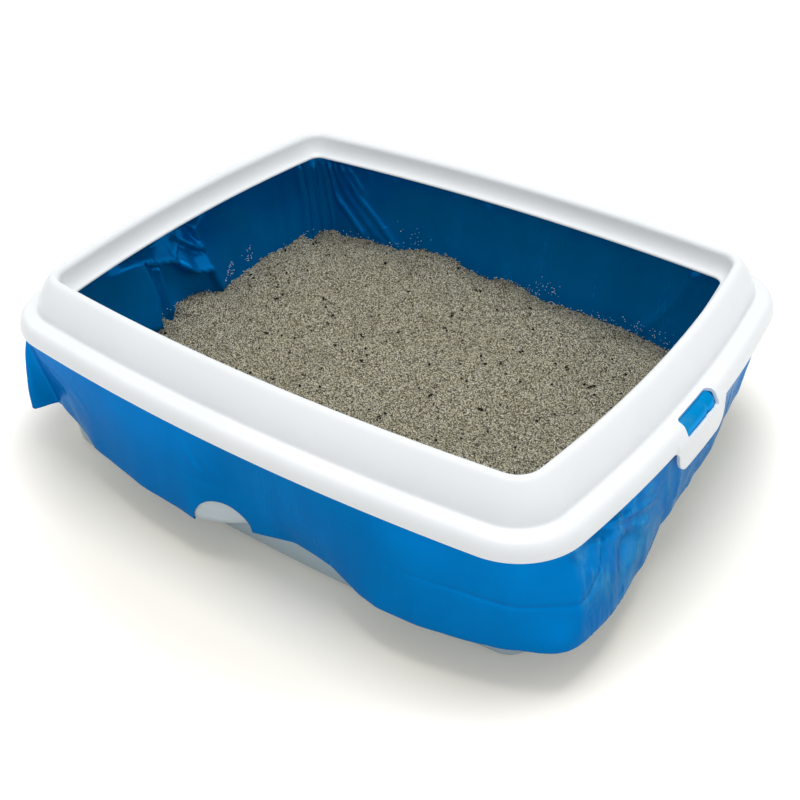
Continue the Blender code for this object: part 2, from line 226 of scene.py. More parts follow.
def arc(outline, step, inset, height, radius, angles, up=1):
    """Rings round a quarter circle: level with height at angle 0, and at inset at a right angle."""
    return [
        ring(outline, step, inset + radius * (1 - math.sin(a)), height + up * radius * (1 - math.cos(a)))
        for a in angles
    ]


# ---- meshes

def grid_faces(rows, cols, wrap=True):
    """Quads of a grid of vertices laid out row after row."""
    i = np.arange(rows - 1)[:, None]
    j = np.arange(cols if wrap else cols - 1)[None, :]
    k = (j + 1) % cols
    return np.stack([i * cols + j, i * cols + k, (i + 1) * cols + k, (i + 1) * cols + j], -1)


def joined(first, second, cols):
    """Quads that join two rows of a closed grid."""
    j = np.arange(cols)
    k = (j + 1) % cols
    return np.stack([first * cols + j, first * cols + k, second * cols + k, second * cols + j], -1)


def link(thing):
    bpy.context.scene.collection.objects.link(thing)
    return thing


def make_piece(name, points, faces, material, sharp=None):
    """A smooth mesh object from points in millimetres. faces is an array or a list."""
    mesh = bpy.data.meshes.new(name)
    faces = faces.tolist() if isinstance(faces, np.ndarray) else faces
    mesh.from_pydata((np.asarray(points) * MM).tolist(), [], faces)
    mesh.validate()
    bm = bmesh.new()
    bm.from_mesh(mesh)
    loose = [v for v in bm.verts if not v.link_faces]
    bmesh.ops.delete(bm, geom=loose, context="VERTS")
    bmesh.ops.recalc_face_normals(bm, faces=bm.faces)
    bm.to_mesh(mesh)
    bm.free()
    mesh.materials.append(material)
    mesh.shade_smooth()
    if sharp:
        mesh.set_sharp_from_angle(angle=math.radians(sharp))
    return link(bpy.data.objects.new(name, mesh))


def thicken(piece, thickness):
    shell = piece.modifiers.new("sheet", "SOLIDIFY")
    shell.thickness, shell.offset = thickness, 0.0
    return piece


def noise_at(points, size, seed=0.0):
    """Smooth noise from about -1 to 1, with features of this size in millimetres."""
    shift = Vector((seed * 17.3, seed * 5.1, seed * 9.7))
    return np.array([noise.noise(Vector(p) / size + shift) for p in points])


# ---- materials

def linear(r, g, b):
    """Linear colour of an sRGB one given from 0 to 255."""
    return tuple(
        (c / 255 / 12.92) if c <= 10.3 else ((c / 255 + 0.055) / 1.055) ** 2.4 for c in (r, g, b)
    )


class Nodes:
    """Builds a node tree. An input is given a number, a tuple or another node's output."""

    def __init__(self, owner):
        owner.use_nodes = True
        self.tree = owner.node_tree

    def feed(self, socket, value):
        if isinstance(value, bpy.types.NodeSocket):
            self.tree.links.new(value, socket)
        elif isinstance(value, tuple) and socket.type == "RGBA":
            socket.default_value = (*value, 1.0)
        else:
            socket.default_value = value

    def add(self, kind, inputs=(), **settings):
        """Outputs of a new node with these settings, and inputs by name or number."""
        node = self.tree.nodes.new("ShaderNode" + kind)
        for key, value in settings.items():
            setattr(node, key, value)
        for key, value in dict(inputs).items():
            self.feed(node.inputs[key], value)
        return node.outputs

    def spread(self, source, low, high, start=0.0, end=1.0, **settings):
        inputs = {"Value": source, "From Min": start, "From Max": end, "To Min": low, "To Max": high}
        return self.add("MapRange", inputs, **settings)["Result"]

    def math(self, operation, a, b):
        return self.add("Math", {0: a, 1: b}, operation=operation)["Value"]

    def times(self, a, b):
        return self.math("MULTIPLY", a, b)

    def rise(self, source, start, end, high=1.0):
        return self.spread(source, 0.0, high, start, end)

    def fall(self, source, start, end):
        return self.spread(source, 1.0, 0.0, start, end)

    def mix(self, share, a, b):
        return self.add("Mix", {0: share, 6: a, 7: b}, data_type="RGBA")[2]

    def seen(self):
        """One for a ray that shows what it meets: from the camera, a gloss or a clear surface."""
        path = self.add("LightPath")
        result = self.math("MAXIMUM", path["Is Camera Ray"], path["Is Glossy Ray"])
        return self.math("MAXIMUM", result, path["Is Transmission Ray"])


class Surface(Nodes):
    """Builds a material."""

    def __init__(self, name):
        self.material = bpy.data.materials.new(name)
        super().__init__(self.material)
        self.shader = self.tree.nodes["Principled BSDF"]
        self.coords = self.add("TexCoord")["Object"]

    def noise(self, scale, detail=4.0, roughness=0.55, kind="FBM", distortion=0.0, stretch=None):
        place = self.add("Mapping", {0: self.coords, "Scale": stretch})[0] if stretch else self.coords
        inputs = {"Vector": place, "Scale": scale, "Detail": detail, "Roughness": roughness}
        return self.add("TexNoise", {**inputs, "Distortion": distortion}, noise_type=kind)["Fac"]

    def ramp(self, source, stops):
        node = self.tree.nodes.new("ShaderNodeValToRGB")
        elements = node.color_ramp.elements
        while len(elements) < len(stops):
            elements.new(0.5)
        for element, (place, colour) in zip(elements, stops):
            element.position, element.color = place, (*colour, 1.0)
        self.feed(node.inputs["Fac"], source)
        return node.outputs["Color"]

    def bump(self, *layers):
        """Each layer is (height source, distance in metres, strength)."""
        inputs = {}
        for height, distance, strength in layers:
            inputs.update(Height=height, Distance=distance, Strength=strength)
            inputs["Normal"] = self.add("Bump", inputs)["Normal"]
        self.set(Normal=inputs["Normal"])

    def set(self, **values):
        for key, value in values.items():
            self.feed(self.shader.inputs[key.replace("_", " ")], value)


def frame_material():
    n = Surface("white_plastic")
    clouds = n.noise(14.0, 5.0)
    colour = n.ramp(clouds, [(0.3, linear(235, 239, 241)), (0.7, linear(240, 243, 245))])
    grain = n.noise(2600.0, 2.0)
    waves = n.noise(60.0, 3.0)
    n.bump((waves, 0.0006, 0.10), (grain, 0.00006, 0.5))
    n.set(Base_Color=colour, Roughness=n.spread(grain, 0.36, 0.50, 0.3, 0.7))
    n.set(Specular_IOR_Level=0.42)
    return n.material


def pan_material():
    n = Surface("grey_plastic")
    clouds = n.noise(9.0, 4.0)
    colour = n.ramp(clouds, [(0.3, linear(162, 181, 192)), (0.7, linear(171, 189, 200))])
    grain = n.noise(1800.0, 2.0)
    n.bump((grain, 0.00008, 0.6))
    n.set(Base_Color=colour, Roughness=n.spread(grain, 0.42, 0.58, 0.3, 0.7))
    return n.material


def film_material():
    n = Surface("blue_film")
    ridged = "RIDGED_MULTIFRACTAL"
    streaks = n.noise(30.0, 5.0, 0.6, stretch=(1.0, 1.0, 0.25))
    colour = n.ramp(n.noise(7.0, 4.0), [(0.3, linear(0, 102, 171)), (0.7, linear(0, 112, 183))])
    colour = n.mix(n.rise(streaks, 0.45, 0.75, 0.24), colour, linear(0, 136, 212))
    # Painted sheen: faint pale streaks on the film, in patches
    lines = n.noise(70.0, 3.0, 0.5, ridged, distortion=0.8, stretch=(1.0, 1.0, 0.4))
    sheen_patches = n.rise(n.noise(11.0, 3.0), 0.54, 0.66)
    colour = n.mix(n.times(n.rise(lines, 0.72, 0.94, 0.8), sheen_patches), colour, linear(64, 150, 206))
    # Painted light: the film across the latch slots is made paler, where it bulges out towards the lamps
    # overhead
    x, y, z = n.add("SeparateXYZ", {0: n.coords})
    end, aside = (n.math("ABSOLUTE", socket, 0.0) for socket in (x, y))
    in_slot = n.times(n.fall(aside, 0.023, 0.027), n.rise(end, 0.226, 0.230))
    in_slot = n.times(in_slot, n.rise(z, 0.107, 0.111, 0.6))
    colour = n.mix(in_slot, colour, linear(0, 154, 220))
    # Right of the near corner the film is creased more, and painted sheen makes it paler in blotches and
    # vertical streaks
    painted_light_zone = n.times(n.rise(x, 0.196, 0.212), n.rise(y, -0.151, -0.145))
    painted_light_zone = n.times(painted_light_zone, n.fall(y, -0.07, 0.03))
    sheen_blotches = n.rise(n.noise(26.0, 4.0, 0.6), 0.46, 0.64, 0.42)
    upright_sheen = n.rise(n.noise(150.0, 4.0, 0.6, stretch=(1.0, 1.0, 0.16)), 0.5, 0.68, 0.42)
    colour = n.mix(n.times(painted_light_zone, n.math("ADD", sheen_blotches, upright_sheen)), colour, linear(76, 144, 182))
    # Painted shade on the film there, in darker patches
    painted_shade_patches = n.spread(n.noise(38.0, 4.0, 0.6, distortion=0.4), 0.3, 0.0, 0.34, 0.48)
    colour = n.mix(n.times(painted_light_zone, painted_shade_patches), colour, linear(0, 82, 142))
    # Sharp little creases in patches, on top of soft ones
    bent = n.mix(0.035, n.coords, n.add("TexNoise", {"Vector": n.coords, "Scale": 24.0})["Color"])
    cells = n.add("TexVoronoi", {"Vector": bent, "Scale": 46.0}, feature="DISTANCE_TO_EDGE")
    sharp = n.times(n.fall(cells["Distance"], 0.0, 0.07), n.rise(n.noise(16.0, 3.0), 0.48, 0.66))
    creases = n.noise(42.0, 6.0, 0.5, ridged, distortion=0.6)
    fine = n.noise(420.0, 3.0, 0.6)
    n.bump((creases, 0.0011, 0.22), (sharp, 0.0005, 0.45), (fine, 0.00012, 0.3))
    n.set(Base_Color=colour, Roughness=n.spread(streaks, 0.15, 0.29, 0.3, 0.7))
    n.set(Metallic=0.34, Specular_IOR_Level=0.014, Specular_Tint=(0.10, 0.60, 1.0))
    return n.material


def tape_material():
    n = Surface("white_tape")
    streaks = n.noise(120.0, 3.0, stretch=(0.2, 0.2, 3.0))
    colour = n.ramp(streaks, [(0.3, linear(176, 190, 198)), (0.7, linear(192, 204, 211))])
    n.bump((streaks, 0.0004, 0.3))
    n.set(Base_Color=colour, Roughness=n.spread(streaks, 0.3, 0.45))
    return n.material


# The granules' tones, from the darkest to the palest, and the share of them at which each stands
GRANULE_STOPS = [
    (0.0, linear(54, 51, 40)), (0.07, linear(104, 100, 82)), (0.24, linear(165, 160, 135)),
    (0.5, linear(209, 203, 175)), (0.8, linear(236, 230, 203)), (0.97, linear(252, 250, 236)),
]
DARK_STOPS = [(0.0, linear(24, 22, 17)), (0.7, linear(40, 37, 29)), (1.0, linear(62, 57, 45))]


def bed_material():
    n = Surface("granules_bed")
    cells = n.add("TexVoronoi", {"Vector": n.coords, "Scale": 1080.0}, feature="F1")
    own = n.add("SeparateColor", {"Color": cells["Color"]})[0]
    base = n.ramp(own, GRANULE_STOPS)
    patches = n.noise(22.0, 4.0)
    warm = n.mix(n.rise(patches, 0.4, 0.7, 0.22), base, linear(178, 166, 136))
    # Painted shade between the granules: darker towards each cell's edge
    shaded_gaps = n.rise(cells["Distance"], 0.38, 0.72, 0.95)
    colour = n.mix(shaded_gaps, warm, linear(64, 60, 47))
    n.bump((n.fall(cells["Distance"], 0.0, 0.8), 0.0009, 1.0))
    n.set(Base_Color=colour, Roughness=0.95, Specular_IOR_Level=0.2)
    return n.material


def grain_material(name, vein, stops=GRANULE_STOPS, low=0.0):
    """Loose granules, each of its own colour out of these stops, from low upwards."""
    n = Surface(name)
    random = n.spread(n.add("NewGeometry")["Random Per Island"], low, 1.0)
    fine = n.noise(1500.0, 3.0)
    own = n.ramp(random, stops)
    colour = n.mix(n.rise(fine, 0.4, 0.7, 0.25), own, vein)
    n.bump((fine, 0.0002, 0.5))
    n.set(Base_Color=colour, Roughness=0.95, Specular_IOR_Level=0.2)
    return n.material


# Distances from the middle where the floor's lift starts and ends to grow
LIFT_FROM, LIFT_TO = 0.25, 0.43


def floor_material():
    """A pale floor. What the camera sees of it is lifted to white, and the object's shadow stays."""
    n = Surface("studio_floor")
    away = n.add("VectorMath", {0: n.coords}, operation="LENGTH")["Value"]
    lift = n.spread(away, 0.10, 1.0, LIFT_FROM, LIFT_TO, interpolation_type="SMOOTHSTEP")
    # Nearer the middle, where the object's shadow falls, the floor is made warmer: a painted warm tone
    # for the shadow
    shadow_warmth_fade = n.rise(away, LIFT_FROM, LIFT_TO)
    colour = n.mix(shadow_warmth_fade, (0.94, 0.90, 0.80), (0.94, 0.93, 0.92))
    diffuse = n.add("BsdfDiffuse", {"Color": colour})
    glow = n.add("Emission", {"Strength": n.times(n.seen(), lift)})
    both = n.add("AddShader", {0: diffuse[0], 1: glow[0]})
    n.feed(n.tree.nodes["Material Output"].inputs["Surface"], both[0])
    n.tree.nodes.remove(n.shader)
    return n.material


# ---- rim frame

SILL_RISE = 2.0
SLOT_INSET, SLOT_HALF, SLOT_ROUND = 10.0, 23.0, 5.0
TAB_HALF, TAB_DROP, TAB_ROUND, TAB_ROOT, TAB_PROUD = 34.5, 19.2, 12.5, 6.0, 1.2
TAB_FLARE = 0.08


def quadratic(a, b, c, count):
    """Points of a curve from a to c that leans towards b."""
    t = np.linspace(0, 1, count)[:, None]
    a, b, c = (np.array(p, float) for p in (a, b, c))
    return (1 - t) ** 2 * a + 2 * t * (1 - t) * b + t * t * c


def frame_line():
    """The frame's outer section from the slot's sill up, as (inset, rise) points, and their run."""
    low = math.asin(SILL_RISE / LIP_HEIGHT)
    angle = np.linspace(low, math.pi / 2, 60)
    lip = np.stack([LIP_ROUND * (1 - np.cos(angle)), LIP_HEIGHT * np.sin(angle)], -1)
    shelf = np.stack([np.linspace(6.6, 13.6, 24), np.linspace(12.12, 12.68, 24)], -1)
    foot = quadratic((13.8, 12.7), (15.3, 12.8), (15.6, 14.6), 14)
    wall = quadratic((15.7, 15.2), (16.7, 25.4), (27.0, 37.0), 50)
    turn = np.radians(np.linspace(134, 4, 40))
    crest = np.stack([30.32 + 4.23 * np.cos(turn), 34.17 + 4.23 * np.sin(turn)], -1)
    cove = quadratic(crest[-1], (35.2, 22.6), (40.7, 20.0), 40)[1:]
    line = np.concatenate([lip, shelf, foot, wall, crest, cove])
    return line, run_along(line)


def tab_drop(e):
    """How far the latch tab hangs below the lip's lower edge, at distances from the end's middle."""
    e = np.abs(e)
    corner = np.sqrt(np.clip(TAB_ROUND**2 - np.clip(e - (TAB_HALF - TAB_ROUND), 0, None) ** 2, 0, None))
    inside = TAB_DROP - TAB_ROUND + corner
    root = np.sqrt(np.clip(TAB_ROOT**2 - np.clip(TAB_HALF + TAB_ROOT - e, 0, None) ** 2, 0, None))
    outside = TAB_ROOT - root
    return np.where(e < TAB_HALF, inside, np.where(e < TAB_HALF + TAB_ROOT, outside, 0.0))


def build_frame(surface):
    line, run = frame_line()
    slope = np.gradient(line, axis=0)
    slope /= np.linalg.norm(slope, axis=1)[:, None]
    under_line = line + FRAME_WALL * np.stack([slope[:, 1], -slope[:, 0]], -1)
    slot_run = np.interp(SLOT_INSET, line[:, 0], run)
    rows = np.concatenate([
        np.linspace(0, slot_run - SLOT_ROUND, 9)[:-1],
        np.linspace(slot_run - SLOT_ROUND, slot_run, 6),
        slot_run + np.array([1.0, 2.2, 3.4, 4.2, 5.0, 5.8, 6.6, 7.8]),
        np.linspace(slot_run + 9.4, run[-1], 34),
    ])
    slot_row = 13
    # Columns stand close together where the latch tab and slot have their edges.
    offsets = np.array([
        0, 3, 6, 9, 12, 15, 18, 19, 20, 21, 22, 23, 24, 25.5, 27, 28.5, 30, 31.5, 32.6, 33.5, 34.1, 34.42,
        34.58, 35.1, 36, 37, 38.2, 39.4, 40.5, 42, 43.5, 45.5, 48,
    ])
    ends = np.concatenate([-offsets[:0:-1], offsets])
    half = np.concatenate([ends, np.linspace(48, HALF_ROUND - 48, 236)[1:-1]])
    places = np.concatenate([END_PLACE + half, half - END_PLACE])
    cols = len(places)
    near, sign = np.abs(from_end(places)), np.sign(from_end(places))
    drop = tab_drop(near)
    proud = TAB_PROUD * smooth((TAB_HALF + 3.5 - near) / 3.0)

    def surface_points(source):
        points = []
        for r in rows:
            # Round the slot's two inner corners by bending the grid round them.
            px = near - (SLOT_HALF - SLOT_ROUND)
            py = np.full(cols, r - (slot_run - SLOT_ROUND))
            inside = (px > 0) & (py > 0)
            most = np.maximum(np.maximum(px, py), 1e-6)
            far = np.maximum(np.hypot(px, py), 1e-6)
            share = np.where(most <= SLOT_ROUND, 1.0, 1 - smooth((most - SLOT_ROUND) / 6.0))
            factor = np.where(inside, 1 + (most / far - 1) * share, 1.0)
            shift = px * (factor - 1) * sign
            here = r + np.where(inside, py * (factor - 1), 0.0)
            inset = np.interp(here, run, source[:, 0])
            rise = np.interp(here, run, source[:, 1])
            stand = proud * (1 - smooth(here / 6.0))
            steps = steps_at(places + np.where(inside, shift, 0))
            points.append(ring(RIM, steps, inset - stand, FRAME_BOTTOM + rise))
        return points

    outer, under = surface_points(line), surface_points(under_line)
    steps = steps_at(places)

    def flared(inset, rise):
        """A point of the lip's lower part or of the tab, which leans out as it goes down."""
        return ring(RIM, steps, inset - proud + TAB_FLARE * np.minimum(rise, 0.0), FRAME_BOTTOM + rise)

    def low_rows(inset):
        bottom = 0.7 - drop
        shares = (0.0, 0.14, 0.28, 0.42, 0.56, 0.70, 0.85)
        return [flared(inset, bottom + (SILL_RISE - bottom) * share) for share in shares]

    outer_low, under_low = low_rows(0.05), low_rows(FRAME_WALL)
    bottom = [flared(i, rise - drop) for i, rise in ((2.2, 0.2), (1.7, 0.0), (0.75, 0.0), (0.25, 0.2))]
    # The inner edge is a small round nose.
    tip, back = line[-1], under_line[-1]
    nose = []
    for share, out in ((0.2, 0.55), (0.5, 0.8), (0.8, 0.55)):
        inset, rise = tip + (back - tip) * share + slope[-1] * out
        nose.append(ring(RIM, steps, inset, FRAME_BOTTOM + rise))
    loop = outer_low + outer + nose + under[::-1] + under_low[::-1] + bottom
    quads = grid_faces(len(loop), cols)
    # Take the slot's faces out of both surfaces and wall its edges.
    low, high = len(outer_low), len(outer_low) + slot_row
    mirror = len(outer_low) + len(outer) + len(nose) + len(under) - 1
    slotted = near <= SLOT_HALF + 0.01
    in_slot = slotted & np.roll(slotted, -1)
    keep = np.ones(quads.shape[:2], bool)
    keep[low:high, in_slot] = False
    keep[mirror - slot_row : mirror, in_slot] = False
    faces = [quads[keep], joined(len(loop) - 1, 0, cols)]
    faces += [joined(row, mirror - (row - low), cols)[in_slot] for row in (low, high)]
    first = np.nonzero(in_slot & ~np.roll(in_slot, 1))[0]
    last = (np.nonzero(in_slot & ~np.roll(in_slot, -1))[0] + 1) % cols
    row = np.arange(low, high)
    other = mirror - (row - low)
    faces += [np.stack([row, row + 1, other - 1, other], -1) * cols + side for side in (*first, *last)]
    return make_piece("splash_frame", np.concatenate(loop), np.concatenate(faces), surface, sharp=38)


# ---- pan

def build_pan(surface):
    step = steps_at(spaced_places([], 3.2))
    turn = np.linspace(0, math.pi / 2, 7)
    top, under = PAN_HEIGHT - PAN_RIM_ROUND, PAN_HEIGHT - PAN_WALL
    edge, low = PAN_RIM_INSET + PAN_WALL, PAN_HEIGHT - PAN_RIM_DROP

    def bottom(height):
        """Rings from the middle outwards. The bottom is raised a little inside its edge."""
        rings = [ring(BASE, step, BASE_ROUND, height + rise) for rise in (0.6, 0.6, 0.0)]
        for points, share in zip(rings, (0.04, 0.5, 0.92)):
            points[:, :2] *= share
        return rings

    def rim(*places):
        return [ring(RIM, step, inset, height) for inset, height in places]

    rings = bottom(0.0)
    rings += arc(BASE, step, 0.0, 0.0, BASE_ROUND, turn)
    rings += [wall_ring(step, 0.0, height) for height in np.linspace(BASE_ROUND, top - 2.5, 14)[1:]]
    rings += rim((14.6, top + 1.2), (13.4, under - 0.3), (12.0, under))
    rings += arc(RIM, step, edge, under, PAN_RIM_ROUND - PAN_WALL, turn, -1)
    rings += rim((edge, low + 0.4), (edge - 0.4, low))
    rings += rim((PAN_RIM_INSET + 0.4, low), (PAN_RIM_INSET, low + 0.4))
    rings += arc(RIM, step, PAN_RIM_INSET, PAN_HEIGHT, PAN_RIM_ROUND, turn[::-1], -1)
    rings += rim((WALL_TOP_INSET - 1.0, PAN_HEIGHT), (WALL_TOP_INSET + 1.2, PAN_HEIGHT - 1.4))
    rings += [wall_ring(step, PAN_WALL, height) for height in np.linspace(top - 2.5, BASE_ROUND, 10)[:-1]]
    rings += arc(BASE, step, PAN_WALL, PAN_WALL, BASE_ROUND - PAN_WALL, turn[::-1])
    rings += bottom(PAN_WALL)[::-1]
    cols = len(step)
    faces = grid_faces(len(rings), cols).reshape(-1, 4).tolist()
    faces.append(list(range(cols)))
    faces.append(list(range((len(rings) - 1) * cols, len(rings) * cols)))
    return make_piece("tray", np.concatenate(rings), faces, surface, sharp=50)


# ---- film

# Inset of the hem along the rim. The seen part is traced, and the back and far left are laid by eye.
HEM = (
    (-396, 8), (-330, 5), (-290, 11), (-256, 13), (-226, 15.5), (-216.5, 15.6), (-210.5, -4.6),
    (-207.5, -5.2), (-201.5, 15.6), (-196, 16.6), (-187, 15.6), (-173, 14.3), (-159, 10.8), (-141, 4.4),
    (-118, 1.8), (-96, 0.1), (-74, -1.6), (-42, -3.0), (-27, -4.0), (-8, 0.5), (12, 7.5), (26, 11.1),
    (44, 15.9), (62, 13.9), (78, 11.3), (93, 5.5), (106, 0.4), (122, -3.2), (138, -2.9), (153, -2.4),
    (176, -0.2), (196, 2.3), (216, 0.9), (222, -0.9), (230, -4.5), (236, -7.2), (241, -8.9),
    (247, -9.7), (254, -9.9), (268, -9.5), (282, -8.7), (298, -6.1), (331, 0.4),
    (357, 3.6), (369, 7.6), (397, 9.4), (424, 9.9), (455, 11.3), (468, 11.9), (520, 15), (579, 16),
    (625, 9), (660, 2), (705, 8), (750, 3), (800, 5), (850, 9), (905, -1), (950, 6), (1004, 14),
    (1040, 9), (1090, 12), (1140, 4),
)
# Height of the hem's edge above the floor where it isn't the usual one
HEM_LIFT = (
    (-240, 0), (-226, 5), (-215, 10), (-211, 7), (-207, 7), (-203, 10), (-196, 9), (-187, 7), (-181, 4),
    (-173, 1), (-163, 0),
)
# Height of the tunnel's weld. By the near corner the film is hitched up, and the weld with it.
WELD = (
    (-209, 69), (-150, 70), (0, 71), (110, 73), (182, 75), (209, 72), (232, 70.5), (246, 70), (254, 72),
    (264, 80), (269, 90), (273, 100), (281, 100), (292, 96), (304, 90), (320, 82), (352, 77), (380, 70),
    (430, 70), (520, 72), (579, 68), (640, 71), (HALF_ROUND, 70), (900, 73), (1004, 68), (1100, 70),
)
CREASE_PLACE = 243.0
SKIRT_TOP, SKIRT_START = 105.3, 108.5
# The film's inset on the rim and in the tray, the height and round of its crown, and its thickness
FILM_RIM, FILM_IN_TRAY, FILM_CROWN, FILM_TURN, FILM_THICK = 3.3, 3.1, 117.0, 5.6, 0.0002
TAPE_LOW, TAPE_HIGH, TAPE_INSET, TAPE_THICK = 39.0, 61.5, 0.9, 0.00025


def straight(keys, place):
    """Straight lines between (place, value) keys, round the rim."""
    keys = sorted((k % ROUND, v) for k, v in keys)
    x, y = zip(*keys)
    return np.interp(np.asarray(place, float) % ROUND, x, y, period=ROUND)


def facets():
    """Two flat panels that meet in a sharp crease round the near corner: point and normal of each."""
    (first, second), (n1, n2) = RIM.at(steps_at(np.array([217.0, 284.0])))
    return (first - 0.9 * n1, n1), (second + 8.9 * n2, n2)


PANELS = facets()


def hem_inset(place, height):
    """Inset that the film would have at the hem, where the near corner's panels round off downwards."""
    hem = straight(HEM, place)
    points, normals = RIM.at(steps_at(place))
    out = [((q - points) @ n) / np.maximum(normals @ n, 0.2) for q, n in PANELS]
    panel = -np.minimum(*out)
    near = (wrapped(place, 250) > -33) & (wrapped(place, 250) < 32)
    shifts = np.linspace(-24, 24, 9)
    soft = sum(straight(HEM, place + d) for d in shifts) / len(shifts)
    front = smooth((place + 176) / 16) * smooth((200 - place) / 16)
    eased = hem + (soft - hem) * front * smooth((height - 38) / 22)
    return np.where(near, panel + (hem - panel) * smooth((66 - height) / 26), eased)


def skirt_inset(place, height):
    """Inset of the hanging film's middle surface."""
    place = np.asarray(place, float)
    height = np.asarray(height, float)
    hem = hem_inset(place, height)
    t = np.clip((SKIRT_TOP - height) / (SKIRT_TOP - HEM_HEIGHT), 0.0, 1.02)
    far_end = smooth((place - 425) / 20) * smooth((560 - place) / 40)
    left_over = 1 - np.clip(t, 0, 1)
    inwards = t * (1 - 0.35 * (1 - t) ** 2) * (1 - far_end) + (1 - left_over**2.2) * far_end
    outwards = 1 - left_over**2.6
    share = np.where(hem > FILM_RIM, inwards, outwards)
    inset = FILM_RIM + (hem - FILM_RIM) * share
    # The waist by the near corner: the film is drawn in there, and flares again below.
    inset += 7.0 * bell(wrapped(place, 301) / 12) * bell((height - 74) / 14)
    hang = smooth(t * 1.4)
    for middle, width, deep in SKIRT_WAVES:
        inset = inset + deep * hang * bell(wrapped(place, middle) / width)
    for fold in SKIRT_FOLDS:
        inset = inset - stroke(place, height, *fold)
    # The weld is a thin groove, plainest round the near corner, with the tunnel a little fuller below.
    weld = straight(WELD, place)
    plain = 0.10 + 0.38 * np.exp(-((wrapped(place, 235) / 62) ** 4))
    inset = inset + plain * bell((height - weld) / 0.55)
    below = smooth((weld - height) / 7) * smooth((height - HEM_HEIGHT + 4) / 12)
    inset = inset - 0.5 * plain * below
    # Small hanging pleats below the hitched-up weld.
    pleated = smooth((place - 247) / 5) * smooth((304 - place) / 8) * below
    slide = place + 0.10 * (height - 60) + 1.6 * np.sin(height / 9.0)
    fade = 0.5 + 0.5 * np.sin(slide * 0.37 + 0.8)
    pleats = 0.46 * np.sin(slide * 1.15) + 0.32 * np.sin(slide * 2.03 + 1.3)
    return inset + pleated * fade * pleats


SKIRT_WAVES = (
    (-120, 9, 0.5), (-82, 13, -0.7), (-46, 10, 0.5), (150, 10, -0.6), (192, 7, 0.5), (330, 8, -1.0),
    (356, 7, 1.1), (382, 9, -0.9), (430, 8, 1.0), (468, 9, -0.3), (505, 10, 1.0), (548, 9, -1.2),
    (610, 9, 1.4), (680, 12, -1.3), (735, 9, 1.2), (830, 10, -1.2), (880, 8, 1.2), (930, 9, -1.2),
    (985, 9, 1.3), (1070, 9, 1.1), (1120, 9, -1.2), (1160, 10, 1.0),
)
# Folds of the hanging film: how far each stands out, its reach on either side, and its path, as
# places and heights in turn
SKIRT_FOLDS = (
    (3, 4.5, 1.8, 262, 103, 282, 97, 304, 87, 330, 76),
    (2.2, 4, 1.8, 284, 104, 312, 95, 344, 86),
    (1.6, 3.5, 1.8, 306, 104, 330, 97, 352, 90),
    (1.2, 3, 2, 246, 100, 256, 88, 270, 78),
    (0.9, 2, 1.6, 256, 102, 263, 92, 270, 84),
    (1.6, 4, 1.8, 352, 104, 360, 86, 366, 70, 360, 50),
    (1.3, 3, 2, 338, 84, 350, 72, 356, 56),
    (1.2, 3, 2.4, 318, 74, 326, 60, 330, 44),
    (1.2, 3, 2, 372, 92, 380, 74, 384, 50),
    (1, 3, 2, 410, 100, 420, 78, 424, 48),
    (1.3, 3, 2, 444, 103, 450, 80, 448, 52),
    (0.6, 2.6, 1.8, -190, 100, -176, 84, -160, 72),
    (0.5, 2.4, 1.8, -176, 98, -160, 84, -148, 76),
    (0.5, 2.6, 1.8, -160, 92, -150, 80, -138, 66),
    (0.5, 2.6, 1.8, -34, 94, -26, 82, -18, 76),
    (0.4, 2.6, 1.8, -20, 90, -8, 80, 2, 76),
)


def stroke(place, height, tall, left, right, *path, ends=9.0):
    """Height of a fold along a path of places and heights: tall on the path, falling off to each side.

    left and right are how far it falls off, where left is the side of smaller places for a path that
    runs down. ends is the length over which it fades in and out.
    """
    path = list(zip(path[::2], path[1::2]))
    best = np.full(np.shape(place), 1e9)
    value = np.zeros(np.shape(place))
    total = sum(math.dist(a, b) for a, b in zip(path, path[1:]))
    gone = 0.0
    for (ax, az), (bx, bz) in zip(path, path[1:]):
        dx, dz = bx - ax, bz - az
        size = math.hypot(dx, dz)
        px, pz = wrapped(place, ax), height - az
        t = np.clip((px * dx + pz * dz) / size**2, 0, 1)
        away = np.hypot(px - t * dx, pz - t * dz)
        reach = np.where(px * dz - pz * dx > 0, left, right)
        along = gone + t * size
        end = smooth(np.minimum(along + 0.5 * ends, total - along + 0.5 * ends) / ends)
        this = tall * np.exp(-((away / reach) ** 1.5)) * end
        value = np.where(away < best, this, value)
        best = np.minimum(best, away)
        gone += size
    return value


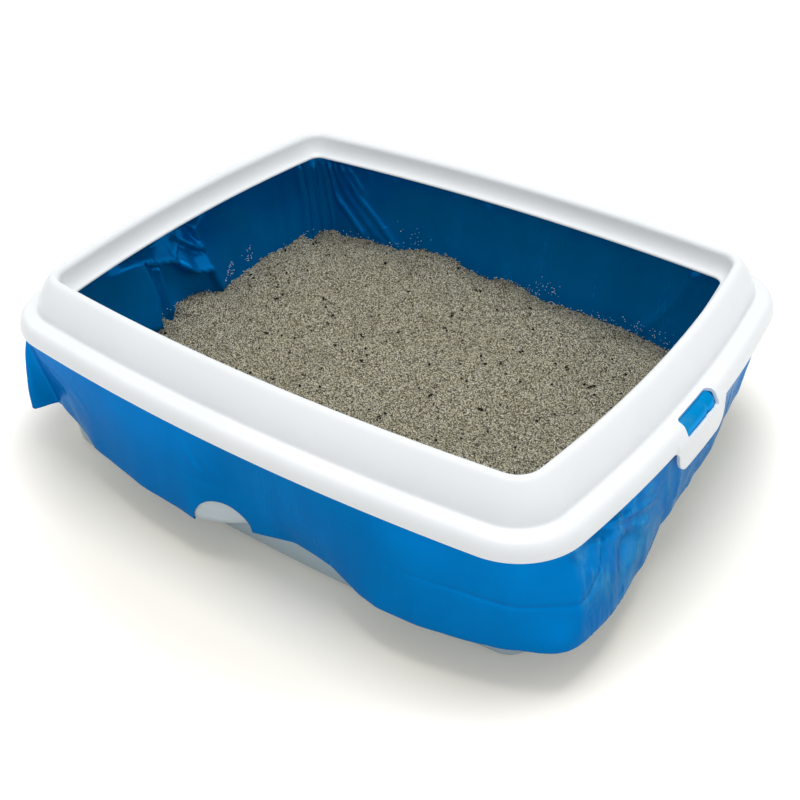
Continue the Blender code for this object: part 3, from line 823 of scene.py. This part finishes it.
# Folds of the film inside the tray, standing in from its wall, in the same form
FOLDS = (
    (13, 1.7, 20, -338, 114, -341, 102, -345, 87, -347, 70, -343, 43),
    (5, 3, 6, -352, 103, -350, 90, -350, 70, -351, 43),
    (8, 1.7, 6, -360, 94, -361, 80, -363, 60, -366, 46),
    (13, 10, 1.7, -341, 105, -355, 98, -371, 93, -380, 87),
    (19, 12, 1.9, -380, 87, -386, 80, -392, 75, -408, 70, -414, 69),
    (11, 2.5, 5, -386, 105, -381, 99, -376, 91),
    (13, 6, 1.8, -393, 100, -399, 94, -405, 90, -414, 88),
    (9.5, 15, 1.7, -404, 115, -407, 99, -411, 85, -415, 68, -419, 53, -423, 40),
    (0.9, 1.5, 4, -440, 96, -454, 73, -467, 54),
    (0.35, 1.2, 2.5, -438, 92, -485, 72, -549, 47),
    (1.2, 2.5, 4, -301, 112, -308, 96, -322, 80),
    (0.9, 3, 2, -336, 107, -329, 94, -322, 80),
    (1.6, 5, 3, -287, 110, -293, 92, -300, 70, -304, 48),
    (2.4, 4, 2.5, -547, 114, -550, 79, -547, 38),
    (1.2, 3.5, 3, -532, 113, -533, 80, -527, 42),
    (0.9, 5, 3, -514, 108, -513, 70, -508, 44),
    (2.6, 2.2, 2.6, -567, 112, -571, 80, -578, 45),
    (1.4, 2.2, 2.5, -580, 114, -588, 84, -602, 44),
    (3.1, 2, 2.2, -589, 111, -605, 80, -637, 50),
    (2, 1.8, 2, -597, 112, -616, 84, -652, 52),
    (2.6, 2.4, 2.2, -605, 112, -629, 85, -652, 66, -674, 46),
    (2, 1.8, 1.8, -613, 112, -634, 90),
    (0.9, 1.6, 1.8, -637, 113, -641, 99),
    (1.1, 1.6, 1.8, -662, 114, -670, 101),
    (1.3, 2.4, 2.6, -700, 112, -710, 84, -726, 62),
    (1.3, 2, 2.4, -720, 113, -735, 85),
    (1.2, 1.6, 1.8, -750, 115, -751, 105),
    (1.5, 1.8, 2.6, -759, 112, -765, 95, -778, 65),
    (0.9, 1.4, 1.8, 770, 114, 768, 102),
    (1, 1.8, 2, 742, 114, 739, 98),
    (0.9, 1.6, 1.8, 715, 114, 714, 100),
    (1, 1.8, 2, 690, 114, 687, 96),
    (0.9, 1.8, 2, 668, 114, 665, 94),
    (2.4, 2.5, 3, 628, 112, 639, 88, 653, 66, 668, 46),
    (2.2, 2.5, 2.5, 604, 113, 607, 80, 612, 45),
    (2, 2.2, 2.8, 586, 114, 584, 80, 580, 45),
    (1.8, 2.6, 2.6, 560, 113, 556, 80, 552, 45),
    (1.4, 2.6, 2.6, 524, 112, 520, 84, 512, 60),
    (1.1, 3, 3, 470, 113, 466, 90, 470, 62),
    (1.2, 3, 3, 424, 114, 420, 88, 414, 60),
    (1.1, 3, 3, 372, 114, 376, 90, 384, 66),
    (1.2, 2.6, 2.6, 320, 114, 326, 84, 338, 60),
    (1.9, 2.6, 2.6, 250, 113, 246, 80, 240, 45),
    (2.4, 2.4, 2.4, 214, 114, 212, 80, 210, 45),
    (1.7, 2.4, 2.6, 186, 113, 180, 80, 168, 50),
    (1.1, 2.8, 2.8, 120, 114, 116, 86, 104, 60),
    (1, 2.8, 2.8, 52, 114, 50, 90, 44, 66),
    (1.2, 2.8, 2.8, -30, 114, -34, 88, -46, 60),
    (1.1, 2.8, 2.8, -110, 114, -112, 86, -124, 58),
    (2, 2.4, 2.6, -180, 113, -186, 80, -196, 45),
    (2.6, 2.4, 2.4, -212, 114, -213, 80, -214, 45),
    (1.8, 2.6, 2.4, -240, 113, -246, 80, -256, 45),
)


def tray_film_stand(place, height):
    """How far the film stands in from the tray's wall."""
    stand = np.zeros(np.shape(place))
    for fold in FOLDS:
        stand = np.maximum(stand, stroke(place, height, *fold))
    # The pocket under the tucked fold stays against the wall.
    stand = stand + 0.5 + 0.4 * np.sin(place / 17.0 + height / 31.0)
    return stand * smooth((PAN_HEIGHT - 0.5 - height) / 9.0)


def notch_rise(place):
    """How far the half-moon cuts lift the hem's edge."""
    rise = np.zeros(np.shape(place))
    for middle in NOTCHES:
        away = np.clip(NOTCH_RADIUS**2 - wrapped(place, middle) ** 2, 0, None)
        rise = np.maximum(rise, np.sqrt(away))
    return rise


def film_places():
    """Places of the film's columns, closer together where it has most detail."""
    zones = [
        (-380, 46, 1.5), (-209, 12, 1.2), (NOTCH_PLACE, 21, 1.3), (276, 34, 1.5), (396, 24, 1.8),
        (-610, 66, 2.2), (NOTCHES[1], 21, 2.0),
    ]
    places = spaced_places(zones, 3.4)
    # A column falls on each side of each cut, so that its corners are crisp.
    for middle in NOTCHES:
        for edge in (-NOTCH_RADIUS, NOTCH_RADIUS):
            nearest = np.argmin(np.abs(wrapped(places, middle + edge)))
            places[nearest] = wrapped(middle + edge, 0.0)
    places[np.argmin(np.abs(places - CREASE_PLACE))] = CREASE_PLACE
    return np.sort(places)


def crumple(points, normals, share):
    """Moves rows of points along the rim's normals by the film's small random creasing."""
    depth = 0.55 * noise_at(points, 26.0, 1.0) + 0.22 * np.abs(noise_at(points, 11.0, 2.0))
    points[:, :2] += np.tile(normals, (len(points) // len(normals), 1)) * (depth * share)[:, None]


def slack(places, z):
    """Share of the creasing that the hanging film has: most at the right end, and least at the front."""
    front = smooth((200 - places) / 20) * smooth((places + 200) / 20)
    right = smooth((places - 236) / 20) * smooth((430 - places) / 20)
    return (1 - 0.55 * front + 0.9 * right) * smooth((104 - z) / 14)


def build_film(surface):
    places = film_places()
    step = steps_at(places)
    cols = len(places)
    normals = RIM.at(step)[1]

    rows = []

    def rim(inset, height):
        rows.append(ring(RIM, step, inset, height))

    # Over the tray's floor and up its wall
    for share in (0.03, 0.5, 0.93):
        floor = ring(BASE, step, FILM_IN_TRAY + 4.0, PAN_WALL + 0.6)
        floor[:, :2] *= share
        rows.append(floor)
    rows.append(ring(BASE, step, FILM_IN_TRAY + 0.9, PAN_WALL + 2.0))
    for height in (8, 20, 30, *np.linspace(36, 108.5, 27), 111.0, 113.2, 115.0):
        wall = wall_ring(step, FILM_IN_TRAY, min(height, PAN_HEIGHT - PAN_RIM_ROUND))
        wall[:, 2] = height
        wall[:, :2] -= normals * tray_film_stand(places, np.full(cols, float(height)))[:, None]
        rows.append(wall)

    # Over the rim. In the latch slots the film bulges out a little, with a crease across it.
    for inset, height in ((16.6, 116.4), (14.6, FILM_CROWN), (11.4, FILM_CROWN + 0.1)):
        rim(inset, height)
    bulge = 2.3 * smooth((23.2 - np.abs(from_end(places))) / 3.4)
    bulge = bulge - 1.2 * bell(wrapped(places, END_PLACE + 10) / 1.8)
    for a in np.linspace(0, math.pi / 2, 5):
        inset = FILM_RIM + FILM_TURN * (1 - math.sin(a)) - bulge * math.sin(a)
        height = FILM_CROWN - FILM_TURN * (1 - math.cos(a)) + bulge * math.cos(a) * 0.8
        rim(inset, height)

    # Down outside to the weld, and to the hem's edge
    bottom = HEM_HEIGHT + 0.5 * np.sin(places / 29.0) + straight(HEM_LIFT, places) + notch_rise(places)
    weld = straight(WELD, places)
    for share in np.linspace(0.0, 1.0, 13):
        z = SKIRT_START + (weld + 0.8 - SKIRT_START) * share
        rim(skirt_inset(places, z) - bulge * (1 - share) ** 3, z)
    first_hanging = len(rows) - 13
    rim(skirt_inset(places, weld), weld)
    for share in np.linspace(0.0, 1.0, 13):
        z = weld - 0.8 + (bottom - weld + 0.8) * share
        rim(skirt_inset(places, z), z)
    skirt_last = len(rows) - 1

    # Round the fold and up again inside, to the tunnel's top
    for out, drop in ((0.25, -0.5), (0.9, -0.8), (1.55, -0.5)):
        rim(skirt_inset(places, bottom) + out, bottom + drop)
    fold_last = len(rows) - 1
    for share in (0.05, 0.5, 1.0):
        z = bottom + (TUNNEL_TOP - bottom) * share
        rim(skirt_inset(places, z) + 1.8 - 1.2 * share**4, z)

    points = np.concatenate(rows)
    z = points[:, 2]
    hanging = np.arange(len(points)) >= first_hanging * cols
    free = np.where(hanging, slack(np.tile(places, len(rows)), z), smooth((113 - z) / 12))
    crumple(points, normals, free)
    quads = grid_faces(len(rows), cols)
    keep = np.ones(quads.shape[:2], bool)
    in_notch = notch_rise(places) > 0.01
    keep[skirt_last : fold_last + 1, in_notch | np.roll(in_notch, -1)] = False
    faces = quads[keep].tolist()
    faces.append(list(range(cols)))
    return thicken(make_piece("film_liner", points, faces, surface), FILM_THICK)


def build_tapes(surface):
    """The two tapes in the hem's tunnel, which follow the film's creasing."""
    pieces = []
    for name, start, end in (("tape_front", -194.0, 572.0), ("tape_back", 586.0, ROUND - 223.0)):
        places = np.linspace(start, end, 360)
        step = steps_at(places)
        low = TAPE_LOW + 0.7 * np.sin(places / 23.0)
        if name == "tape_front":
            low = low - 1.5 * bell(wrapped(places, -26) / 10) + 6.5 * bell(wrapped(places, 22) / 17)
        rows = []
        for share in np.linspace(0, 1, 7):
            z = low + (TAPE_HIGH - low) * share
            inset = skirt_inset(places, z) + TAPE_INSET + 0.15 * np.sin(places / 9.0 + 3 * share)
            rows.append(ring(RIM, step, inset, z))
        points = np.concatenate(rows)
        crumple(points, RIM.at(step)[1], slack(np.tile(places, len(rows)), points[:, 2]))
        faces = grid_faces(len(rows), len(places), wrap=False).reshape(-1, 4)
        pieces.append(thicken(make_piece(name, points, faces, surface), TAPE_THICK))
    return pieces


# ---- litter

# Height of the litter along the tray's wall. The back and the left end are traced.
LITTER_EDGE = (
    (-345, 40), (-350, 48), (-355, 46), (-360, 38), (-368, 41), (-374, 49), (-390, 49), (-404, 47),
    (-420, 40), (-439, 40), (-454, 41), (-473, 43), (-482, 45), (-504, 44), (-521, 45), (-530, 48),
    (-538, 41), (-548, 39), (-569, 44), (-603, 47), (-615, 44), (-638, 47), (-669, 46), (-707, 53),
    (-731, 53), (-745, 48), (-767, 45), (-786, 49), (782, 47), (760, 42), (740, 43), (715, 43), (686, 43),
    (666, 42), (639, 40), (600, 41), (560, 44), (500, 47), (440, 44), (396, 46), (340, 45), (280, 47),
    (214, 44), (150, 46), (90, 48), (20, 45), (-60, 47), (-130, 46), (-180, 44), (-214, 42), (-260, 44),
    (-310, 42),
)
BED_LONG, BED_WIDE, BED_LEVEL = 332, 268, 46.5


def build_bed(surface):
    """The bed as one solid. Also its top's points, and how far out each is, from 0 to 1."""
    across, deep = np.meshgrid(np.linspace(-1, 1, BED_LONG), np.linspace(-1, 1, BED_WIDE))
    across, deep = across.ravel(), deep.ravel()
    reach = np.maximum(np.abs(across), np.abs(deep))
    safe = np.maximum(reach, 1e-9)
    qa, qb = across / safe, deep / safe
    # The square's edge goes to places along the rim: first their distance from the end's middle.
    diagonal = float(np.interp(9.0 + STEPS, _dense, _run))
    along_end, along_side = diagonal - END_PLACE, HALF_ROUND - diagonal
    on_end = np.abs(qa) >= np.abs(qb)
    first = np.where(on_end, along_end * np.abs(qb), along_end + along_side * (1 - np.abs(qa)))
    first = np.where(qb >= 0, first, -first)
    place = np.where(qa >= 0, END_PLACE + first, 3 * END_PLACE - first)
    step = steps_at(place)
    edge_height = keyed(LITTER_EDGE, place)
    edge = wall_ring(step, FILM_IN_TRAY + 0.5, edge_height)
    x, y = edge[:, 0] * reach, edge[:, 1] * reach
    spots = np.stack([x, y, np.zeros_like(x)], -1)
    level = BED_LEVEL + 3.4 * noise_at(spots, 85.0, 3.0) + 1.6 * noise_at(spots, 34.0, 4.0)
    level += 3.5 * bell((x + 120) / 70) * bell((y - 120) / 60)
    level += 2.0 * bell((x - 40) / 90) * bell((y - 60) / 60)
    blend = smooth((1 - reach) / 0.16)
    z = edge_height + (level - edge_height) * blend
    z += 0.9 * noise_at(spots, 12.0, 5.0) + 0.45 * noise_at(spots, 5.0, 6.0)
    rng = np.random.default_rng(7)
    z += rng.normal(0.0, 0.34, z.shape)
    top = np.stack([x, y, z], -1)
    faces = grid_faces(BED_WIDE, BED_LONG, wrap=False).reshape(-1, 4).tolist()
    # The sides and the bottom, hidden in the film, close the solid.
    index = np.arange(BED_WIDE * BED_LONG).reshape(BED_WIDE, BED_LONG)
    border = np.concatenate([index[0, :-1], index[:-1, -1], index[-1, :0:-1], index[:0:-1, 0]])
    low = ring(BASE, step[border], FILM_IN_TRAY + 1.6, PAN_WALL + 2.2)
    count, start = len(border), len(top)
    after = np.roll(np.arange(count), -1)
    sides = np.stack([border[after], border, start + np.arange(count), start + after], -1)
    faces += sides.tolist() + [list(range(start, start + count))]
    return make_piece("litter_bed", np.concatenate([top, low]), faces, surface), top, reach


def against_film(place, height, off):
    """Points this far off the film inside the tray."""
    step = steps_at(place)
    spots = wall_ring(step, FILM_IN_TRAY, height)
    spots[:, :2] -= RIM.at(step)[1] * (tray_film_stand(place, height) + off)[:, None]
    return spots


def grains(name, centres, sizes, surface, seed):
    """Small rough stones, one for each centre, in one mesh."""
    bm = bmesh.new()
    bmesh.ops.create_icosphere(bm, subdivisions=1, radius=1.0)
    unit = np.array([v.co for v in bm.verts])
    tris = np.array([[v.index for v in f.verts] for f in bm.faces])
    bm.free()
    rng = np.random.default_rng(seed)
    count = len(centres)
    shape = unit[None] * rng.uniform(0.72, 1.12, (count, len(unit), 1))
    shape = shape * rng.uniform((0.8, 0.7, 0.55), (1.25, 1.0, 0.85), (count, 3))[:, None, :]
    angle = rng.uniform(0, math.tau, count)
    c, s = np.cos(angle)[:, None], np.sin(angle)[:, None]
    x, y, z = shape[..., 0], shape[..., 1], shape[..., 2]
    turned = np.stack([x * c - y * s, x * s + y * c, z], -1)
    points = (turned * sizes[:, None, None] + centres[:, None, :]).reshape(-1, 3)
    faces = (tris[None] + (np.arange(count) * len(unit))[:, None, None]).reshape(-1, 3)
    made = make_piece(name, points, faces, surface)
    made.data.shade_flat()
    return made


def build_grains(top, reach, surface):
    """Two pieces of loose granules all over the bed."""
    rng = np.random.default_rng(11)
    inner = np.nonzero(reach < 0.992)[0]
    pieces = []
    for name, count, seed in (("granules_a", 8100, 21), ("granules_b", 8100, 22)):
        chosen = rng.choice(inner, count, replace=False)
        centres = top[chosen] + rng.normal(0, 0.35, (count, 3)) * (1, 1, 0)
        sizes = np.clip(rng.lognormal(math.log(0.47), 0.20, count), 0.32, 0.9)
        centres[:, 2] += sizes * 0.25
        pieces.append(grains(name, centres, sizes, surface, seed))
    return pieces


def build_dark_grains(top, reach, surface):
    """Single dark granules on the bed, a few of them in clumps."""
    rng = np.random.default_rng(13)
    inner = np.nonzero(reach < 0.97)[0]
    fine, lone, heart = (top[rng.choice(inner, count, replace=False)] for count in (420, 250, 30))
    clump = np.repeat(heart, 4, axis=0)
    clump = clump + rng.normal(0, 1.4, clump.shape) * (1, 1, 0)
    centres = np.concatenate([fine, lone, clump])
    ranges = ((0.45, 0.8, len(fine)), (0.85, 1.6, len(lone)), (0.8, 1.35, len(clump)))
    sizes = np.concatenate([rng.uniform(*each) for each in ranges])
    centres[:, 2] += 0.2 + 0.6 * sizes
    return grains("granules_dark", centres, sizes, surface, 23)


def build_edge_grains(surface):
    """Granules heaped unevenly where the bed meets the film, which make its edge ragged."""
    rng = np.random.default_rng(17)
    count = 1300
    place = rng.uniform(-HALF_ROUND, HALF_ROUND, count)
    ragged = 1.1 * np.sin(place / 2.3 + 3 * np.sin(place / 11.0)) * np.sin(place / 7.1)
    height = keyed(LITTER_EDGE, place) + ragged + rng.normal(0.5, 0.7, count)
    spots = against_film(place, height, rng.uniform(0.3, 1.4, count))
    sizes = rng.uniform(0.42, 0.85, count)
    return grains("granules_edge", spots, sizes, surface, 37)


def build_strays(surface):
    """Single granules that stick to the film just above the bed."""
    rng = np.random.default_rng(5)
    centres, sizes = [], []
    # Middle and spread along the rim, lowest height and spread upwards, and how many
    clusters = (
        (-436, 5, 50, 5, 20), (-443, 3, 57, 3, 8), (-463, 4, 52, 5, 16), (-470, 3, 60, 3, 6),
        (-530, 14, 49, 2, 8), (-690, 7, 58, 8, 16), (-672, 6, 51, 4, 12), (-640, 20, 49, 2, 10),
        (758, 8, 52, 5, 22), (772, 8, 48, 4, 12), (660, 14, 50, 4, 24), (640, 8, 46, 4, 14),
        (700, 30, 47, 2, 16), (-372, 10, 51, 2, 6), (-345, 5, 46, 3, 6), (500, 40, 50, 4, 14),
        (250, 60, 50, 4, 16), (40, 90, 51, 4, 20), (-120, 60, 50, 4, 14),
    )
    for middle, wide, level, tall, count in clusters:
        place = rng.normal(middle, wide, count)
        height = np.abs(rng.normal(0, tall, count)) + level - 2.0
        centres.append(against_film(place, height, 0.35))
        sizes.append(rng.uniform(0.30, 0.54, count))
    return grains("stray_granules", np.concatenate(centres), np.concatenate(sizes), surface, 31)


# ---- studio

def build_floor():
    bm = bmesh.new()
    bmesh.ops.create_grid(bm, x_segments=8, y_segments=8, size=6.0)
    mesh = bpy.data.meshes.new("studio_floor")
    bm.to_mesh(mesh)
    bm.free()
    mesh.materials.append(floor_material())
    link(bpy.data.objects.new("studio_floor", mesh))


def build_world():
    """White to whatever sees it, and plain soft light on the object."""
    world = bpy.data.worlds.new("studio")
    bpy.context.scene.world = world
    n = Nodes(world)
    n.tree.nodes.clear()
    level = n.spread(n.seen(), WORLD_LIGHT, 1.0)
    back = n.add("Background", {"Color": (1.0, 1.0, 1.0), "Strength": level})
    n.add("OutputWorld", {"Surface": back[0]})


WORLD_LIGHT = 0.54
# Name, place, height aimed at over the middle, size and power of each lamp
LAMPS = (
    ("overhead", (0.15, -0.02, 1.45), 0.05, (0.75, 0.65), 10.4),
    ("front_fill", (-0.9, -1.4, 0.7), 0.06, (1.2, 0.9), 1.4),
    ("right_fill", (1.6, -0.5, 0.8), 0.06, (1.0, 0.9), 2.6),
    ("left_fill", (-1.6, 0.1, 0.9), 0.06, (1.0, 0.9), 1.7),
)


def build_lamps():
    for name, place, aim, size, power in LAMPS:
        data = bpy.data.lights.new(name, "AREA")
        data.shape = "RECTANGLE"
        data.size, data.size_y = size
        data.energy = power
        lamp = link(bpy.data.objects.new(name, data))
        lamp.location = place
        lamp.rotation_euler = (Vector((0, 0, aim)) - Vector(place)).to_track_quat("-Z", "Y").to_euler()


# The fitted focal length, in pixels of the photograph's 800
FOCAL_PIXELS = 1173.24


def build_camera():
    """The camera that was fitted to the photograph's traced edges."""
    azimuth, elevation, roll, distance = 0.6337, 0.6385, -0.0200, 0.9201
    target = Vector((-0.0019, 0.0040, 0.0226))
    flat = math.cos(elevation)
    back = Vector((math.sin(azimuth) * flat, -math.cos(azimuth) * flat, math.sin(elevation)))
    right = (-back).cross(Vector((0, 0, 1))).normalized()
    up = right.cross(-back)
    side = right * math.cos(roll) + up * math.sin(roll)
    above = up * math.cos(roll) - right * math.sin(roll)
    data = bpy.data.cameras.new("camera")
    data.sensor_width = 36.0
    data.lens = FOCAL_PIXELS / 800 * data.sensor_width
    data.clip_start, data.clip_end = 0.01, 50.0
    camera = link(bpy.data.objects.new("camera", data))
    pose = Matrix((side, above, back)).transposed().to_4x4()
    pose.translation = target + back * distance
    camera.matrix_world = pose
    bpy.context.scene.camera = camera


# ---- assembly

def place_piece(piece, slot, *nodes):
    """Puts a piece on the one body, in place of these CAD nodes. The slot argument is not used."""
    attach(piece, "root")
    if nodes:
        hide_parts(*nodes)


def main():
    bpy.context.scene.view_settings.view_transform = "Standard"
    build_camera()
    build_floor()
    build_world()
    build_lamps()

    place_piece(build_frame(frame_material()), "frame_plastic", "rim_frame")
    place_piece(build_pan(pan_material()), "pan_plastic", "pan")
    film = build_film(film_material())
    place_piece(film, "liner_film", "liner")
    front, back = build_tapes(tape_material())
    place_piece(front, "drawtape", "drawtape_front")
    place_piece(back, "drawtape", "drawtape_back")
    bed, top, reach = build_bed(bed_material())
    place_piece(bed, "litter_granules", "litter")
    loose = grain_material("granules", linear(128, 123, 100))
    dark = grain_material("granules_dark", linear(20, 18, 14), DARK_STOPS)
    pale = grain_material("granules_on_film", linear(226, 236, 232), low=0.85)
    scattered = build_grains(top, reach, loose)
    scattered += [build_edge_grains(loose), build_dark_grains(top, reach, dark), build_strays(pale)]
    for piece in scattered:
        place_piece(piece, "litter_granules")


main()
